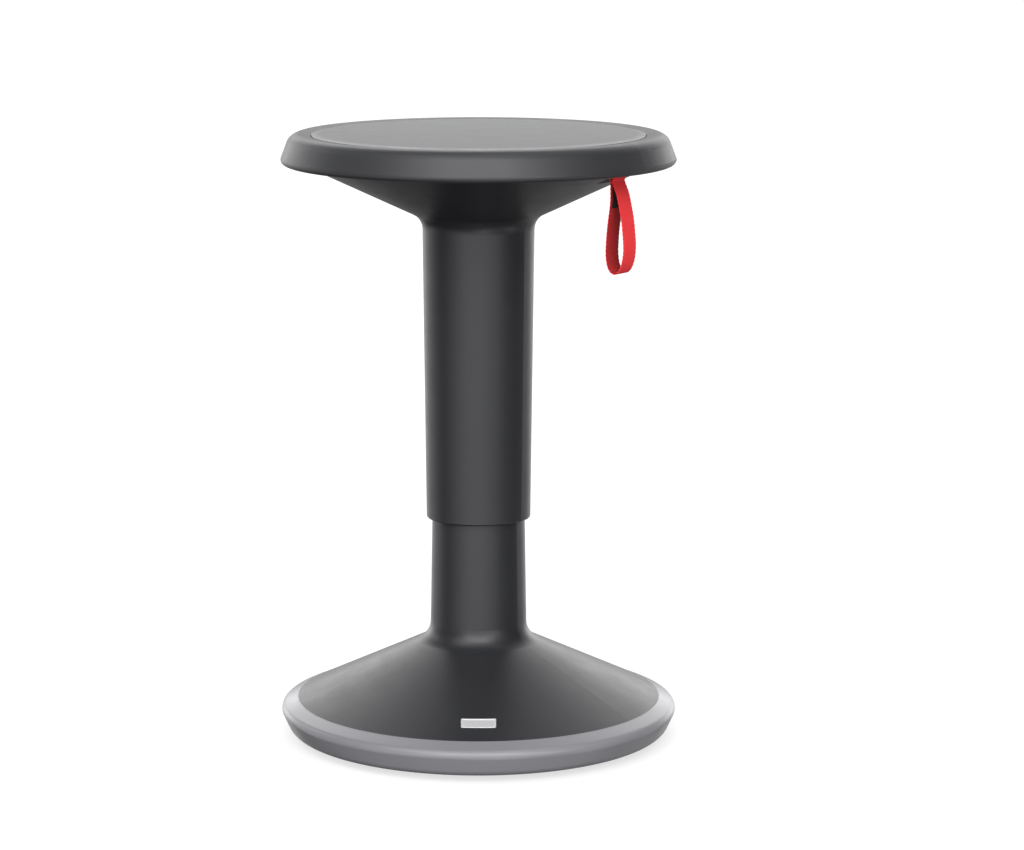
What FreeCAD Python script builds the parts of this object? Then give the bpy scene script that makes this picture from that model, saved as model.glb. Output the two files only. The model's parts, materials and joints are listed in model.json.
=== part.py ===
import FreeCAD, Part
import math
import os

# Height-adjustable wobble stool: a round padded seat on a telescopic column, over a
# wide cone foot with a soft floor ring. Millimetres. +Z up, origin on the floor under
# the column's axis. +X points along the release lever, towards the pull strap.
# At rest the seat stands in the middle of its 180 mm of travel.

V = FreeCAD.Vector
OUT = "parts"

# ---------------------------------------------------------------- driving dimensions
TRAVEL = 90.0               # seat up or down from rest
LABEL_AZ = -54.5            # where the blank plate sits round the foot, degrees from +X

# seat rim, outer profile
RIM_SEAM_R, RIM_SEAM_Z = 146.05, 537.0
RIM_TOP_R, RIM_TOP_Z, RIM_TOP_F = 163.92, 539.71, 11.5
RIM_LOW_R, RIM_LOW_Z, RIM_LOW_F = 174.57, 511.78, 4.18
RIM_IN_R, RIM_IN_Z = 154.3, 513.15

# seat housing: shallow funnel running down into the outer sleeve
FUN_R, FUN_Z = 154.1, 513.1
NECK_R, NECK_Z, NECK_F = 49.22, 464.06, 14.96
SLV_R, SLV_Z, SLV_F = 46.06, 198.08, 1.37
SLV_IN_R = 42.95
NECK_IN_R, NECK_IN_Z = 46.02, 466.4
FLANGE_R, FLANGE_Z0, FLANGE_Z1 = 162.0, 516.0, 519.0
HUB_IN, HUB_OUT, HUB_Z0, DECK_Z0, DECK_Z1 = 20.1, 24.5, 405.0, 460.0, 464.0
SLOT_R0, SLOT_R1, SLOT_W = 132.5, 150.5, 26.4

# foot housing: stem and cone
STEM_R, STEM_Z = 41.09, 198.08
ROOT_R, ROOT_Z, ROOT_F = 42.85, 91.65, 19.02
STEM_SLOPE = (ROOT_R - STEM_R) / (STEM_Z - ROOT_Z)
STEM_TOP = 309.0
CONE_R, CONE_Z = 162.14, 35.15
CONE_SLOPE = (ROOT_Z - CONE_Z) / (CONE_R - ROOT_R)
CONE_WALL = 4.4             # vertical wall of the cone
TUBE_HUB_IN, TUBE_HUB_OUT = 25.1, 28.1

# soft floor ring
RING_TOP_R, RING_TOP_Z, RING_TOP_F = 177.86, 28.44, 6.15
RING_LOW_R, RING_LOW_Z, RING_LOW_F = 167.41, 5.97, 10.87
RING_IN_R, RING_IN_Z = 152.0, 5.2

SOLE_R0, SOLE_R1, SOLE_T = 62.0, 112.0, 3.15
ROCK_R0, ROCK_BEND = 74.0, 600.0   # the underside is flat out to here, then curves up on this radius
BALLAST_R, BALLAST_Z0, BALLAST_Z1 = 120.0, 8.0, 14.0

# gas lift
COL_R, COL_WALL, COL_Z0, COL_Z1 = 25.0, 1.6, 16.0, 285.0
PT_R, PT_IN, PT_Z0, PT_Z1 = 14.0, 12.0, 126.0, 468.0
ROD_R = 5.0
PIN_R, PIN_TOP = 2.5, 475.1

# release lever and strap
PIVOT_X, PIVOT_Z, PIVOT_R = -58.0, 482.0, 3.0
STRAP_X, STRAP_Z, STRAP_PIN_R = 144.6, 512.0, 2.0
STRAP_W, STRAP_T = 20.0, 1.2
# the hanging loop's outside, from its pin: out and down one strand, round the fold and up the other
LOOP = [(-1.25, -6.6), (-1.15, -14.0), (-1.2, -22.0), (-2.1, -31.0), (-3.4, -40.0), (-4.6, -50.0), (-5.4, -61.0), (-5.5, -70.0), (-4.4, -77.3),
        (-1.6, -83.2), (3.6, -85.9), (8.2, -83.0), (11.0, -78.0), (12.9, -70.5), (13.5, -61.5), (12.7, -51.0), (11.6, -41.5), (9.6, -31.0),
        (7.9, -23.7), (5.4, -15.3), (3.1, -10.3), (1.35, -6.6)]

PAD_R, PAD_EDGE_Z, PAD_MID_Z, PAD_BOT = 145.2, 538.3, 535.4, 523.05


# ---------------------------------------------------------------- helpers
def wire_of(pts, place):
    """Closed wire through (u, v[, radius]) points, with tangent arcs at the corners."""
    n = len(pts)
    P = [(p[0], p[1]) for p in pts]
    R = [p[2] if len(p) > 2 else 0.0 for p in pts]
    ends = []
    for i in range(n):
        a, p, b = P[i - 1], P[i], P[(i + 1) % n]
        if R[i] <= 0:
            ends.append((p, None, p))
            continue
        ax, ay = a[0] - p[0], a[1] - p[1]
        bx, by = b[0] - p[0], b[1] - p[1]
        la, lb = math.hypot(ax, ay), math.hypot(bx, by)
        ax, ay, bx, by = ax / la, ay / la, bx / lb, by / lb
        half = math.acos(max(-1, min(1, ax * bx + ay * by))) / 2
        t = R[i] / math.tan(half)
        cx, cy = ax + bx, ay + by
        cl = math.hypot(cx, cy)
        cx, cy = cx / cl, cy / cl
        d = R[i] / math.sin(half)
        mid = (p[0] + cx * (d - R[i]), p[1] + cy * (d - R[i]))
        ends.append(((p[0] + ax * t, p[1] + ay * t), mid, (p[0] + bx * t, p[1] + by * t)))
    edges = []
    for i in range(n):
        s, m, e = ends[i]
        if m is not None:
            edges.append(Part.Arc(place(*s), place(*m), place(*e)).toShape())
        nxt = ends[(i + 1) % n][0]
        if math.hypot(nxt[0] - e[0], nxt[1] - e[1]) > 1e-6:
            edges.append(Part.makeLine(place(*e), place(*nxt)))
    return Part.Wire(edges)


def lathe(pts):
    face = Part.Face(wire_of(pts, lambda u, v: V(u, 0, v)))
    s = face.revolve(V(0, 0, 0), V(0, 0, 1), 360)
    return s if s.isValid() else s.copy()


def slab_xz(pts, y0, y1):
    """A profile in the XZ plane, extruded from y0 to y1."""
    face = Part.Face(wire_of(pts, lambda u, v: V(u, y0, v)))
    return face.extrude(V(0, y1 - y0, 0))


def cyl(r, z0, z1, x=0.0, y=0.0):
    return Part.makeCylinder(r, z1 - z0, V(x, y, z0))


def cyl_y(r, y0, y1, x, z):
    return Part.makeCylinder(r, y1 - y0, V(x, y0, z), V(0, 1, 0))


def tube(r0, r1, z0, z1, x=0.0, y=0.0):
    return cyl(r1, z0, z1, x, y).cut(cyl(r0, z0 - 1, z1 + 1, x, y))


def box(x0, x1, y0, y1, z0, z1):
    return Part.makeBox(x1 - x0, y1 - y0, z1 - z0, V(x0, y0, z0))


def turned(shape, deg):
    s = shape.copy()
    s.rotate(V(0, 0, 0), V(0, 0, 1), deg)
    return s


def polar(r, deg):
    return r * math.cos(math.radians(deg)), r * math.sin(math.radians(deg))


def one(shape):
    """The single solid of a boolean's result."""
    s = shape.removeSplitter()
    if len(s.Solids) != 1:
        raise ValueError(f"{len(s.Solids)} solids where one was meant")
    return s.Solids[0]


NODES = {}


def node(name, shape):
    solids = shape if isinstance(shape, list) else [shape]
    out = []
    for s in solids:
        out += s.Solids
    for s in out:
        if not s.isValid() or s.Volume <= 0:
            raise ValueError(f"{name}: a bad solid")
    NODES[name] = out[0] if len(out) == 1 else Part.makeCompound(out)


# ---------------------------------------------------------------- foot
def stem_r(z):
    return STEM_R - (z - STEM_Z) * STEM_SLOPE


def cone_z(r):
    return CONE_Z + (CONE_R - r) * CONE_SLOPE


foot = lathe([
    (stem_r(STEM_TOP), STEM_TOP),
    (ROOT_R, ROOT_Z, ROOT_F),
    (CONE_R - 0.15, cone_z(CONE_R - 0.15)),
    (CONE_R - 0.15, 31.2),
    (168.5, 28.4),
    (168.5, 16.0),
    (165.0, 16.0),
    (165.0, 25.5, 2.0),
    (160.0, cone_z(160.0) - CONE_WALL, 2.0),
    (39.4, cone_z(39.4) - CONE_WALL, 15.0),
    (stem_r(STEM_TOP) - 3.2, STEM_TOP),
])
# the moulding's own inner tube, which carries the gas lift's column, and its ribs
foot_in = [tube(TUBE_HUB_IN, TUBE_HUB_OUT, 72.0, 285.0)]
for k in range(6):
    a = 15 + 60 * k
    rib = slab_xz([(27.6, 284.0), (37.2, 284.0), (39.6, 100.0), (41.5, 86.0), (60.0, 79.5), (154.0, 36.0),
                   (150.0, 27.0), (118.0, 17.0), (60.0, 19.5), (56.0, 22.0), (56.0, 72.0), (27.6, 72.0)], -1.25, 1.25)
    foot_in.append(turned(rib, a))
for k in range(6):
    x, y = polar(128.0, 45 + 60 * k)
    foot_in.append(cyl(5.5, 7.9, cone_z(128.0) - 1.5, x, y))
for k in range(4):
    x, y = polar(100.0, 45 + 90 * k)
    foot_in.append(cyl(7.0, BALLAST_Z1 + 0.1, cone_z(100.0) - 3.0, x, y))
# everything added inside stays under the outer skin
skin = lathe([(0.0, STEM_TOP - 1), (stem_r(STEM_TOP) - 1.5, STEM_TOP - 1), (ROOT_R - 1.5, ROOT_Z - 1.5, ROOT_F),
              (164.0, cone_z(164.0) - 2.0), (164.0, 2.0), (0.0, 2.0)])
add = foot_in[0].fuse(foot_in[1:]).common(skin)
foot = foot.fuse(add)
cuts = []
for k in range(6):
    x, y = polar(128.0, 45 + 60 * k)
    cuts.append(cyl(2.05, 5.0, 25.0, x, y))
for k in range(4):
    x, y = polar(100.0, 45 + 90 * k)
    cuts.append(cyl(3.05, 10.0, 40.0, x, y))
foot = foot.cut(cuts[0].fuse(cuts[1:]))
node("foot_housing", one(foot))

node("floor_ring", lathe([
    (CONE_R, CONE_Z, 0.6),
    (RING_TOP_R, RING_TOP_Z, RING_TOP_F),
    (RING_LOW_R, RING_LOW_Z, RING_LOW_F),
    (RING_IN_R, RING_IN_Z, 0.8),
    (RING_IN_R, 11.5),
    (161.5, 11.5),
    (161.5, 22.0),
    (164.9, 22.0),
    (164.9, 15.9),
    (168.6, 15.9),
    (168.6, 28.5),
    (CONE_R, 31.3),
]))



def under(r):
    return 0.0 if r <= ROCK_R0 else (r - ROCK_R0) ** 2 / (2 * ROCK_BEND)


plate = lathe([
    (34.0, 1.0), (61.7, 1.0), (61.7, 3.2), (112.3, 3.2), (112.3, under(112.3)), (122.0, under(122.0) - 0.05, 90.0),
    (132.0, under(132.0) - 0.05, 90.0), (142.0, under(142.0) - 0.05, 90.0), (151.8, under(151.8)), (151.8, 9.6, 0.6), (146.0, 7.8, 6.0),
    (123.5, 7.8, 0.6), (122.0, 6.2), (34.0, 6.2),
])
cuts = []
for k in range(6):
    x, y = polar(128.0, 45 + 60 * k)
    cuts += [cyl(2.2, 0.0, 12.0, x, y), cyl(4.4, 0.0, 5.2, x, y)]
node("base_plate", one(plate.cut(cuts[0].fuse(cuts[1:]))))

sole = [(SOLE_R0, SOLE_T)]
sole.append((SOLE_R0, 0.0, 0.5))
for r in (74.0, 81.0, 88.0, 95.0, 102.0):
    sole += [(r - 1.2, under(r - 1.2)), (r - 0.7, under(r) + 1.0), (r + 0.7, under(r) + 1.0), (r + 1.2, under(r + 1.2))]
sole += [(SOLE_R1, under(SOLE_R1), 0.6), (SOLE_R1, SOLE_T)]
node("grip_sole", lathe(sole))

node("service_cap", lathe([(0.0, 1.2), (20.0, 1.2), (20.0, 1.9), (21.5, 1.9), (21.5, 1.2), (33.9, 1.2, 0.5), (33.9, 3.4),
                           (31.0, 3.4), (31.0, 6.9), (29.2, 6.9), (29.2, 3.4), (0.0, 3.4)]))

ballast = tube(29.2, BALLAST_R, BALLAST_Z0, BALLAST_Z1)
for k in range(4):
    x, y = polar(100.0, 45 + 90 * k)
    ballast = ballast.cut(cyl(3.4, 7.0, 16.0, x, y))
node("ballast_disc", one(ballast))


def hex_prism(af, z0, z1, x, y):
    r = af / math.sqrt(3)
    pts = [V(x + r * math.cos(math.radians(60 * i)), y + r * math.sin(math.radians(60 * i)), z0) for i in range(7)]
    return Part.Face(Part.makePolygon(pts)).extrude(V(0, 0, z1 - z0))


def bolt_up(x, y, z_seat, head_r, head_h, shank_r, length, af):
    """Button-head screw that points up, its head's bearing face at z_seat."""
    head = Part.makeCone(head_r * 0.72, head_r, head_h, V(0, 0, z_seat - head_h))
    s = head.fuse(cyl(shank_r, z_seat - 0.5, z_seat + length - 1.0))
    s = s.fuse(Part.makeCone(shank_r, shank_r * 0.55, 1.0, V(0, 0, z_seat + length - 1.0)))
    s = one(s.cut(hex_prism(af, z_seat - head_h - 1, z_seat - head_h + head_h * 0.55, 0, 0)))
    s.translate(V(x, y, 0))
    return s


node("base_plate_screws", [bolt_up(*polar(128.0, 45 + 60 * k), 5.2, 4.0, 2.0, 1.9, 18.0, 2.5) for k in range(6)])
# hexagon-head bolts through the ballast into the foot's bosses
bb = []
for k in range(4):
    x, y = polar(100.0, 45 + 90 * k)
    b = hex_prism(10.0, 6.35, 7.95, 0, 0).fuse(cyl(3.0, 7.5, 34.0))
    b = one(b)
    b.translate(V(x, y, 0))
    bb.append(b)
# the heads stand in pockets of the base plate, clear of it
pock = [cyl(6.6, 5.0, 7.0, *polar(100.0, 45 + 90 * k)) for k in range(4)]
NODES["base_plate"] = one(NODES["base_plate"].cut(pock[0].fuse(pock[1:])))
node("ballast_bolts", bb)


def col_r(z):
    return COL_R if z >= 68.0 else COL_R - (68.0 - z) * 0.0135


node("column_socket", lathe([
    (col_r(8.1) + 0.03, 8.1), (29.0, 8.1), (29.0, 14.05), (52.0, 14.05, 0.8), (52.0, 17.6, 0.8), (29.4, 17.6, 3.0),
    (29.0, 68.0, 0.8), (col_r(68.0) + 0.03, 68.0),
]))

node("column_tube", lathe([
    (8.0, COL_Z0), (col_r(COL_Z0), COL_Z0, 1.0), (COL_R, 68.0), (COL_R, COL_Z1, 0.4), (COL_R - COL_WALL, COL_Z1),
    (COL_R - COL_WALL, 70.0), (22.4, 66.0), (22.4, 19.0, 1.0), (8.0, 19.0),
]))

node("guide_bush", lathe([
    (PT_R + 0.05, 207.0), (23.3, 207.0, 1.0), (23.3, COL_Z1 + 0.05), (26.0, COL_Z1 + 0.05), (26.0, COL_Z1 + 2.6, 1.0),
    (PT_R + 0.05, COL_Z1 + 2.6, 0.6),
]))

gz = STEM_TOP
node("stem_glide_ring", lathe([
    (stem_r(gz) - 5.0, gz - 10.0), (stem_r(gz) - 3.35, gz - 10.0), (stem_r(gz) - 3.35, gz + 0.05), (stem_r(gz) + 0.15, gz + 0.05),
    (stem_r(gz) + 0.15, gz - 8.0), (42.3, gz - 6.5, 0.8), (42.3, gz + 1.5, 1.0), (41.0, gz + 3.0, 0.6), (stem_r(gz) - 5.0, gz + 3.0),
]))

# blank plate, bent to the cone, outside the foot's skin
mid_r = 140.3
slope = math.atan(CONE_SLOPE)
shell = lathe([(120.0, cone_z(120.0) + 0.03), (160.0, cone_z(160.0) + 0.03), (160.0, cone_z(160.0) + 1.0), (120.0, cone_z(120.0) + 1.0)])
cutter = box(-6.5, 6.5, -15.65, 15.65, -6.0, 6.0)
cutter = cutter.makeFillet(0.9, [e for e in cutter.Edges if abs(e.Vertexes[0].Z - e.Vertexes[1].Z) > 5])
cutter.rotate(V(0, 0, 0), V(0, 1, 0), math.degrees(slope))
cutter.translate(V(mid_r, 0, cone_z(mid_r)))
node("name_plate", turned(one(shell.common(cutter)), LABEL_AZ))

# ---------------------------------------------------------------- gas lift, lower end
node("lower_bearing_race", tube(6.6, 15.0, 19.05, 20.5))
balls, ring = [], lathe([(8.0, 21.6), (13.4, 21.6), (13.4, 23.3), (8.0, 23.3)])
for k in range(10):
    x, y = polar(10.7, 36 * k)
    s = Part.makeSphere(1.9, V(x, y, 22.45))
    balls.append(s)
    ring = ring.cut(Part.makeSphere(2.0, V(x, y, 22.45)))
node("bearing_cage", one(ring))
node("bearing_balls", balls)
node("upper_bearing_race", tube(5.05, 15.0, 24.4, 25.9))
node("rod_bumper", lathe([(5.1, 25.95), (11.5, 25.95, 1.0), (10.5, 33.0, 2.0), (5.1, 33.0)]))
node("rod_washer", tube(5.05, 13.0, 14.1, 15.95))
rod = lathe([(0.0, 9.5), (ROD_R, 9.5, 0.8), (ROD_R, 12.6), (4.2, 12.6), (4.2, 14.0), (ROD_R, 14.0), (ROD_R, 242.9), (3.5, 242.9),
             (3.5, 259.0, 0.5), (0.0, 259.0)])
node("piston_rod", rod)
clip = tube(4.25, 9.0, 12.75, 13.9).cut(box(3.0, 12.0, -2.6, 2.6, 10.0, 16.0))
node("rod_clip", one(clip))
node("piston", lathe([(3.55, 243.0), (11.85, 243.0, 0.6), (11.85, 247.2), (10.6, 247.2), (10.6, 250.4), (11.85, 250.4), (11.85, 254.5, 0.6),
                      (3.55, 254.5)]))
node("piston_seal", lathe([(10.65, 247.3), (11.9, 247.3), (11.9, 250.3), (10.65, 250.3)]))
nut = hex_prism(9.0, 254.55, 258.0, 0, 0).cut(cyl(3.55, 250.0, 262.0))
node("piston_nut", one(nut))


# ---------------------------------------------------------------- gas lift, upper end
def pt_r(z):
    return PT_R if z <= 405.0 else PT_R - (z - 405.0) * 0.0105


node("pressure_tube", lathe([
    (5.7, PT_Z0), (PT_R, PT_Z0, 1.0), (PT_R, 405.0), (pt_r(PT_Z1), PT_Z1, 1.0), (8.5, PT_Z1), (8.5, 466.0), (PT_IN - 0.35, 466.0),
    (PT_IN - 0.35, 436.0), (PT_IN, 434.0), (PT_IN, 128.0), (5.7, 128.0),
]))
node("rod_guide", lathe([(ROD_R + 0.04, 128.05), (11.9, 128.05), (11.9, 136.0), (10.4, 136.0), (10.4, 139.0), (11.9, 139.0), (11.9, 146.0, 0.6),
                         (ROD_R + 0.04, 146.0)]))
node("rod_guide_seal", lathe([(10.45, 136.1), (11.92, 136.1), (11.92, 138.9), (10.45, 138.9)]))
node("valve_body", lathe([(PIN_R + 0.05, 440.0), (11.6, 440.0, 0.8), (11.6, 465.95), (PIN_R + 0.05, 465.95)]))
node("valve_pin", lathe([(0.0, 446.0), (1.6, 446.0), (PIN_R, 447.0), (PIN_R, PIN_TOP, 0.9), (0.0, PIN_TOP)]))
node("seat_socket", lathe([
    (pt_r(405.2) + 0.04, 405.2), (20.0, 405.2), (20.0, 464.05), (30.0, 464.05, 0.6), (30.0, 467.0, 0.6), (pt_r(467.0) + 0.04, 467.0),
]))

# ---------------------------------------------------------------- seat housing
FUN_SLOPE = (FUN_Z - NECK_Z) / (FUN_R - NECK_R)


def fun_z(r):
    return NECK_Z + (r - NECK_R) * FUN_SLOPE


housing = lathe([
    (SLV_R, SLV_Z, SLV_F),
    (NECK_R, NECK_Z, NECK_F),
    (FUN_R, FUN_Z),
    (FUN_R, FLANGE_Z0),
    (FLANGE_R, FLANGE_Z0),
    (FLANGE_R, FLANGE_Z1),
    (149.5, FLANGE_Z1),
    (149.5, NECK_IN_Z + (149.5 - NECK_IN_R) * FUN_SLOPE),
    (NECK_IN_R, NECK_IN_Z, 18.0),
    (SLV_IN_R, SLV_Z, 0.7),
])
inside = [tube(HUB_IN, HUB_OUT, HUB_Z0, DECK_Z1), tube(HUB_OUT - 0.5, 60.0, DECK_Z0, DECK_Z1)]
for k in range(6):
    rib = box(HUB_OUT - 1.0, 60.0, -1.5, 1.5, HUB_Z0, DECK_Z0 + 1.0)
    inside.append(turned(rib, 30 + 60 * k))
    # low ribs along the inside of the funnel
    rib = slab_xz([(58.0, fun_z(58.0) + 1.5), (146.0, fun_z(146.0) + 1.5), (146.0, fun_z(146.0) + 8.5), (136.0, fun_z(136.0) + 10.5),
                   (58.0, fun_z(58.0) + 10.5)], -1.1, 1.1)
    inside.append(turned(rib, 60 * k + 30))
PAN_XY = [polar(145.0, a) for a in (24, 75, 135, 195, 255, 315)]
for x, y in PAN_XY:
    inside.append(cyl(4.6, fun_z(139.0), FLANGE_Z1, x, y))
core = lathe([(0.0, HUB_Z0), (46.9, HUB_Z0), (NECK_R - 1.3, NECK_Z + 1.0, NECK_F), (152.0, fun_z(152.0) + 1.6), (152.0, FLANGE_Z1),
              (0.0, FLANGE_Z1)])
add = inside[0].fuse(inside[1:]).common(core)
housing = housing.fuse(add)
# slot that lets the lever's tip and the strap through, four blind screw holes in the deck, six in the bosses
slot = box(SLOT_R0, SLOT_R1, -SLOT_W / 2, SLOT_W / 2, 470.0, FLANGE_Z1 + 2.0)
slot = slot.makeFillet(1.5, [e for e in slot.Edges if abs(e.Vertexes[0].Z - e.Vertexes[1].Z) > 20])
cuts = [slot.common(cyl(152.9, 460.0, 530.0).fuse(box(0, 200, -20, 20, 460, 515.9)))]
DECK_XY = [(-34.0, -17.0), (-34.0, 17.0), (34.0, -17.0), (34.0, 17.0)]
for x, y in PAN_XY:
    cuts.append(cyl(1.95, 511.0, 530.0, x, y))
for x, y in DECK_XY:
    cuts.append(cyl(1.95, 461.5, 470.0, x, y))
housing = housing.cut(cuts[0].fuse(cuts[1:]))
node("seat_housing", one(housing))

# ---------------------------------------------------------------- release mechanism
base = box(-46.0, 42.0, -22.0, 22.0, 467.05, 469.5)
base = base.makeFillet(5.0, [e for e in base.Edges if abs(e.Vertexes[0].Z - e.Vertexes[1].Z) > 2])
ear = slab_xz([(-43.0, 468.0), (-20.0, 468.0), (-30.0, 477.0, 8.0), (-53.0, 488.5, 4.0), (-63.5, 486.0, 4.0), (-63.0, 477.6, 3.0), (-54.0, 473.2, 3.0)], 9.6, 11.8)
ear2 = ear.copy()
ear2.translate(V(0, -21.4, 0))
bracket = base.fuse([ear, ear2])
cuts = [cyl(16.0, 460.0, 474.0), cyl_y(PIVOT_R + 0.02, -20, 20, PIVOT_X, PIVOT_Z)]
for x, y in DECK_XY:
    cuts.append(cyl(2.2, 460.0, 474.0, x, y))
# the bracket stands on the socket's flange, and its two ends are spaced down to the deck
for x0, x1 in ((-46.0, -31.0), (31.0, 42.0)):
    bracket = bracket.fuse(box(x0, x1, -22.0, 22.0, 464.05, 468.0).common(
        box(x0, x1, -22.0, 22.0, 460.0, 470.0)).cut(cyl(30.3, 460.0, 470.0)))
bracket = bracket.cut(cuts[0].fuse(cuts[1:]))
bracket = bracket.common(cyl(47.4, 460.0, 472.0).fuse(cyl(75.0, 471.0, 500.0)))
node("lever_bracket", one(bracket))


def screw_down(x, y, z_seat, head_r, head_h, shank_r, length, af):
    s = bolt_up(0, 0, 0.0, head_r, head_h, shank_r, length, af)
    s.rotate(V(0, 0, 0), V(1, 0, 0), 180)
    s.translate(V(x, y, z_seat))
    return s


node("bracket_screws", [screw_down(x, y, 469.55, 3.6, 2.0, 1.9, 7.4, 2.0)
                        for x, y in DECK_XY])
pin = cyl_y(PIVOT_R, -13.6, 11.9, PIVOT_X, PIVOT_Z).fuse(cyl_y(4.6, -13.8, -11.9, PIVOT_X, PIVOT_Z))
pin = pin.fuse(cyl_y(2.4, 11.7, 14.8, PIVOT_X, PIVOT_Z)).fuse(cyl_y(PIVOT_R, 13.5, 14.8, PIVOT_X, PIVOT_Z))
node("lever_pivot_pin", one(pin))
clip = cyl_y(5.2, 12.2, 13.3, PIVOT_X, PIVOT_Z).cut(cyl_y(2.45, 10.0, 16.0, PIVOT_X, PIVOT_Z)).cut(
    box(PIVOT_X - 1.8, PIVOT_X + 1.8, 10.0, 16.0, PIVOT_Z, PIVOT_Z + 8.0))
node("lever_pin_clip", one(clip))

T = 1.5   # half thickness of the lever's plate
mid = [(PIVOT_X, PIVOT_Z), (-30.0, 477.0), (9.0, 477.0), (20.0, 480.0), (66.0, 514.0), (76.0, 516.0), (150.0, 516.0)]
up, dn = [], []
for i, (x, z) in enumerate(mid):
    a = mid[max(0, i - 1)]
    b = mid[min(len(mid) - 1, i + 1)]
    dx, dz = b[0] - a[0], b[1] - a[1]
    l = math.hypot(dx, dz)
    nx, nz = -dz / l, dx / l
    f = 4.0 if 0 < i < len(mid) - 1 else 0.0
    up.append((x + nx * T, z + nz * T, f))
    dn.append((x - nx * T, z - nz * T, f))
bar = slab_xz(up + dn[::-1], -9.0, 9.0)
bar = bar.common(box(PIVOT_X, STRAP_X - 13.0, -20, 20, 460, 530))
eye = cyl_y(6.2, -9.3, 9.3, PIVOT_X, PIVOT_Z)
web = box(STRAP_X - 25.0, STRAP_X - 7.0, -12.5, 12.5, 514.5, 517.5)
web = web.makeFillet(3.0, [e for e in web.Edges if abs(e.Vertexes[0].Z - e.Vertexes[1].Z) > 2])
lever = bar.fuse([eye, web])
for y0, y1 in ((10.5, 12.5), (-12.5, -10.5)):
    lug = slab_xz([(STRAP_X + a, STRAP_Z + b, f) for a, b, f in [
        (-17.0, 5.5, 0.0), (-17.0, 2.5, 1.0), (-8.5, 2.0, 2.0), (-5.0, -3.4, 2.5), (3.6, -4.0, 3.5), (4.0, 3.6, 2.5), (-3.0, 5.5, 1.5)]], y0, y1)
    lever = lever.fuse(lug)
lever = lever.cut(cyl_y(PIVOT_R + 0.05, -20, 20, PIVOT_X, PIVOT_Z))
lever = lever.cut(cyl_y(STRAP_PIN_R + 0.01, -20, 20, STRAP_X, STRAP_Z))
node("release_lever", one(lever))
node("strap_pin", cyl_y(STRAP_PIN_R, -12.5, 12.5, STRAP_X, STRAP_Z))


# ---------------------------------------------------------------- pull strap
def spline(pts):
    c = Part.BSplineCurve()
    c.interpolate([V(STRAP_X + u, 0, STRAP_Z + z) for u, z in pts])
    return c


h = STRAP_W / 2
outside = spline(LOOP)
t0, t1 = outside.FirstParameter, outside.LastParameter
inner = []
for i in range(1, 60):
    t = t0 + (t1 - t0) * i / 60
    q, d = outside.value(t), outside.tangent(t)[0]
    n = V(-d.z, 0, d.x)            # towards the inside of the loop
    k = q + n * STRAP_T
    if k.z < STRAP_Z - 8.4:
        inner.append((k.x - STRAP_X, k.z - STRAP_Z))
if not all(-8.0 < u < 14.0 for u, z in inner):
    raise ValueError("the loop's inside is on the wrong side")
inside_loop = spline(inner)
eye_r = STRAP_PIN_R + 0.3 + STRAP_T


def tangent_point(px, pz, side):
    """Where a line from (px, pz) touches the circle round the pin, on one side."""
    d = math.hypot(px, pz)
    base, off = math.atan2(pz, px), math.acos(eye_r / d)
    a = base + side * off
    return eye_r * math.cos(a), eye_r * math.sin(a)


at = lambda u, z: V(STRAP_X + u, 0, STRAP_Z + z)
la, ra = tangent_point(*LOOP[0], -1), tangent_point(*LOOP[-1], 1)
w = Part.Wire([Part.Arc(at(*ra), at(0, eye_r), at(*la)).toShape(), Part.makeLine(at(*la), at(*LOOP[0])), outside.toShape(),
               Part.makeLine(at(*LOOP[-1]), at(*ra))])
strap = Part.Face(w).extrude(V(0, STRAP_W, 0))
apex = at(0.05, -7.6)
w = Part.Wire([Part.makeLine(apex, at(*inner[0])), inside_loop.toShape(), Part.makeLine(at(*inner[-1]), apex)])
strap = strap.cut(Part.Face(w).extrude(V(0, STRAP_W, 0)))
strap.translate(V(0, -h, 0))
strap = one(strap.cut(cyl_y(STRAP_PIN_R + 0.3, -h - 1, h + 1, STRAP_X, STRAP_Z)))
node("pull_strap", strap)
# small plain tab sewn on the loop's inside, on the strand nearer the column
run = [(u, z) for u, z in inner[:len(inner) // 2] if -29.5 < z < -11.0]
low_side = spline([(u + 0.04, z) for u, z in run])
high_side = spline([(u + 0.64, z) for u, z in run])
w = Part.Wire([low_side.toShape(), Part.makeLine(at(run[-1][0] + 0.04, run[-1][1]), at(run[-1][0] + 0.64, run[-1][1])), high_side.toShape(),
               Part.makeLine(at(run[0][0] + 0.64, run[0][1]), at(run[0][0] + 0.04, run[0][1]))])
tab = Part.Face(w).extrude(V(0, 14.0, 0))
tab.translate(V(0, -7.0, 0))
node("strap_tab", one(tab))

# ---------------------------------------------------------------- seat
node("seat_rim", lathe([
    (RIM_SEAM_R, RIM_SEAM_Z, 1.2),
    (RIM_TOP_R, RIM_TOP_Z, RIM_TOP_F),
    (RIM_LOW_R, RIM_LOW_Z, RIM_LOW_F),
    (RIM_IN_R, RIM_IN_Z, 0.5),
    (RIM_IN_R, FLANGE_Z0 - 0.05),
    (FLANGE_R + 0.2, FLANGE_Z0 - 0.05),
    (FLANGE_R + 0.2, 523.1),
    (RIM_SEAM_R, 523.1),
]))

pan = cyl(FLANGE_R, FLANGE_Z1 + 0.05, 523.0)
cuts = []
for x, y in PAN_XY:
    cuts += [cyl(2.2, 510.0, 530.0, x, y), Part.makeCone(2.2, 4.3, 2.1, V(x, y, 520.95))]
PADS_XY = [polar(90.0, 45 + 90 * k) for k in range(4)]
for x, y in PADS_XY:
    cuts.append(cyl(2.2, 510.0, 530.0, x, y))
for k in range(4):
    cuts.append(cyl(14.0, 510.0, 530.0, *polar(62.0, 90 * k + 90)) if k != 3 else cyl(6.0, 510.0, 530.0))
node("seat_pan", one(pan.cut(cuts[0].fuse(cuts[1:]))))


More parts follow.
